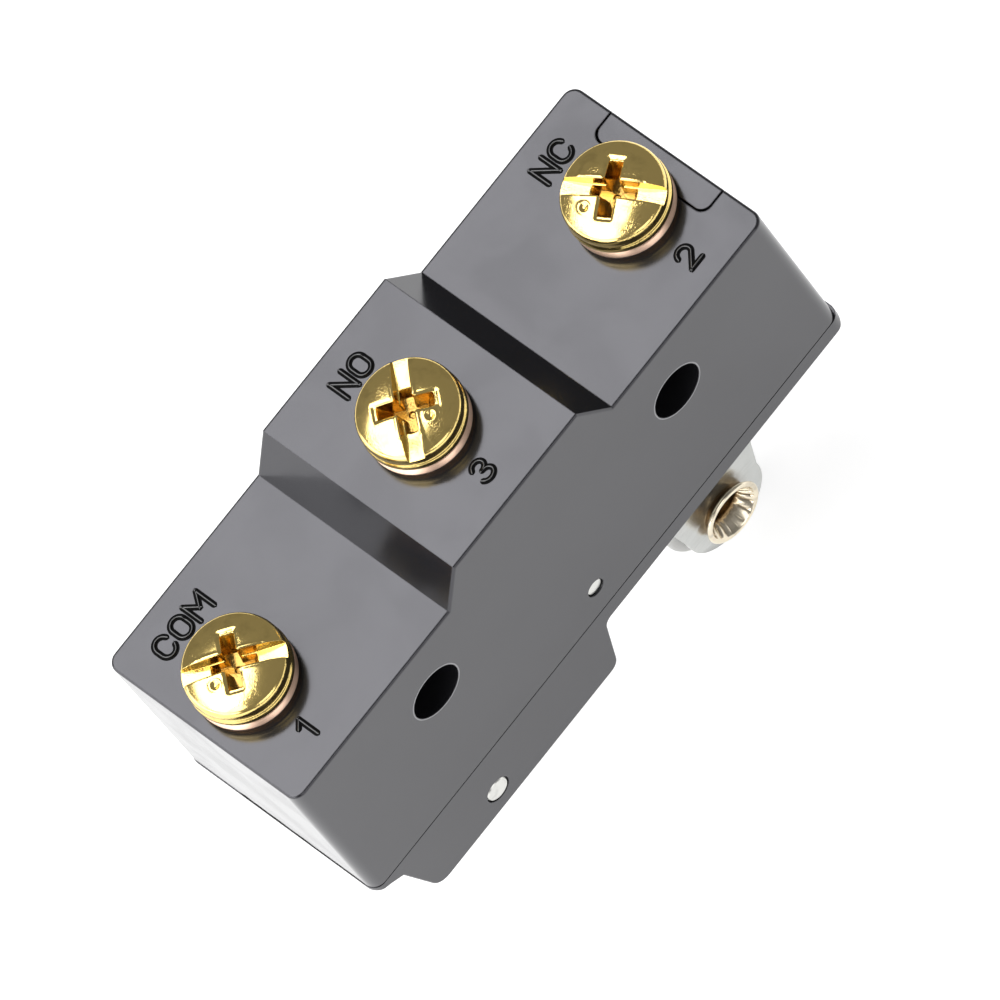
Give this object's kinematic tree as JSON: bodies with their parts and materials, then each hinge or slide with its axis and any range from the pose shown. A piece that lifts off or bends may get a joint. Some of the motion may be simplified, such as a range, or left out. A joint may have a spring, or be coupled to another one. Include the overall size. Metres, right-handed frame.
{
  "type": "micro switch",
  "caption": "Snap-action limit switch in a dark stepped case, with a hinged roller lever below and screw terminals on top.",
  "frame": {"origin": "midway between the two mounting holes, at half the body's thickness", "axes": "+X from the COM end to the NC end, +Y through the mounting holes towards the back, +Z out of the terminal side"},
  "size_m": [0.0495, 0.0174, 0.0436],
  "materials": {
    "moulding": "semi-gloss",
    "gilt_brass": "bright",
    "copper_plate": "satin",
    "stainless": "brushed",
    "nickel": "satin",
    "nylon": "matt",
    "red_moulding": "semi-gloss",
    "silver": "satin"
  },
  "bodies": {
    "housing": {"case": "moulding", "cover": "moulding", "end_plug": "moulding", "cover_pin_front": "stainless", "cover_pin_back": "stainless", "hinge_pin": "stainless", "com_terminal": "gilt_brass", "no_terminal": "gilt_brass", "nc_terminal": "gilt_brass", "snap_blade": "copper_plate", "blade_rivet": "gilt_brass", "nc_contact": "silver", "no_contact": "silver"},
    "lever_arm": {"lever": "stainless", "roller_rivet": "nickel"},
    "roller_wheel": {"roller": "nylon"},
    "push_button": {"plunger": "red_moulding"},
    "contact_tip": {"moving_contact": "silver"},
    "com_washer_ring": {"com_washer": "copper_plate"},
    "com_screw_shaft": {"com_screw": "gilt_brass"},
    "no_washer_ring": {"no_washer": "copper_plate"},
    "no_screw_shaft": {"no_screw": "gilt_brass"},
    "nc_washer_ring": {"nc_washer": "copper_plate"},
    "nc_screw_shaft": {"nc_screw": "gilt_brass"}
  },
  "joints": [
    {"name": "lever_hinge", "type": "hinge", "parent": "housing", "child": "lever_arm", "pos_m": [-0.01386, 0, -0.01582], "axis": [0, -1, 0], "range_deg": [0, 8], "stiffness_Nm_per_rad": 0.285, "springref_deg": -2.69},
    {"name": "roller_spin", "type": "hinge", "parent": "lever_arm", "child": "roller_wheel", "pos_m": [0.0117, 0, -0.027], "axis": [0, 1, 0], "continuous": true},
    {"name": "plunger_slide", "type": "slide", "parent": "housing", "child": "push_button", "axis": [0, 0, 1], "range_m": [0, 0.0014], "deforming": ["snap_blade"]},
    {"name": "contact_snap", "type": "slide", "parent": "housing", "child": "contact_tip", "axis": [0, 0, 1], "range_m": [0, 0.0005]},
    {"name": "com_washer_lift", "type": "slide", "parent": "housing", "child": "com_washer_ring", "axis": [0, 0, 1], "range_m": [0, 0.0021]},
    {"name": "com_screw_turn", "type": "hinge", "parent": "com_washer_ring", "child": "com_screw_shaft", "pos_m": [-0.0199, 0, 0.00565], "axis": [0, 0, 1], "range_deg": [0, 1080]},
    {"name": "no_washer_lift", "type": "slide", "parent": "housing", "child": "no_washer_ring", "axis": [0, 0, 1], "range_m": [0, 0.0021]},
    {"name": "no_screw_turn", "type": "hinge", "parent": "no_washer_ring", "child": "no_screw_shaft", "pos_m": [0, 0, 0.009], "axis": [0, 0, 1], "range_deg": [0, 1080]},
    {"name": "nc_washer_lift", "type": "slide", "parent": "housing", "child": "nc_washer_ring", "axis": [0, 0, 1], "range_m": [0, 0.0021]},
    {"name": "nc_screw_turn", "type": "hinge", "parent": "nc_washer_ring", "child": "nc_screw_shaft", "pos_m": [0.0199, 0, 0.00565], "axis": [0, 0, 1], "range_deg": [0, 1080]}
  ],
  "couplings": [
    {"joint": "plunger_slide", "follows": "lever_hinge", "m_per_rad": 0.00986},
    {"joint": "contact_snap", "follows": "lever_hinge", "m_per_rad": 0.00358},
    {"joint": "com_screw_turn", "follows": "com_washer_lift", "rad_per_m": 8975.9},
    {"joint": "no_screw_turn", "follows": "no_washer_lift", "rad_per_m": 8975.9},
    {"joint": "nc_screw_turn", "follows": "nc_washer_lift", "rad_per_m": 8975.9}
  ]
}
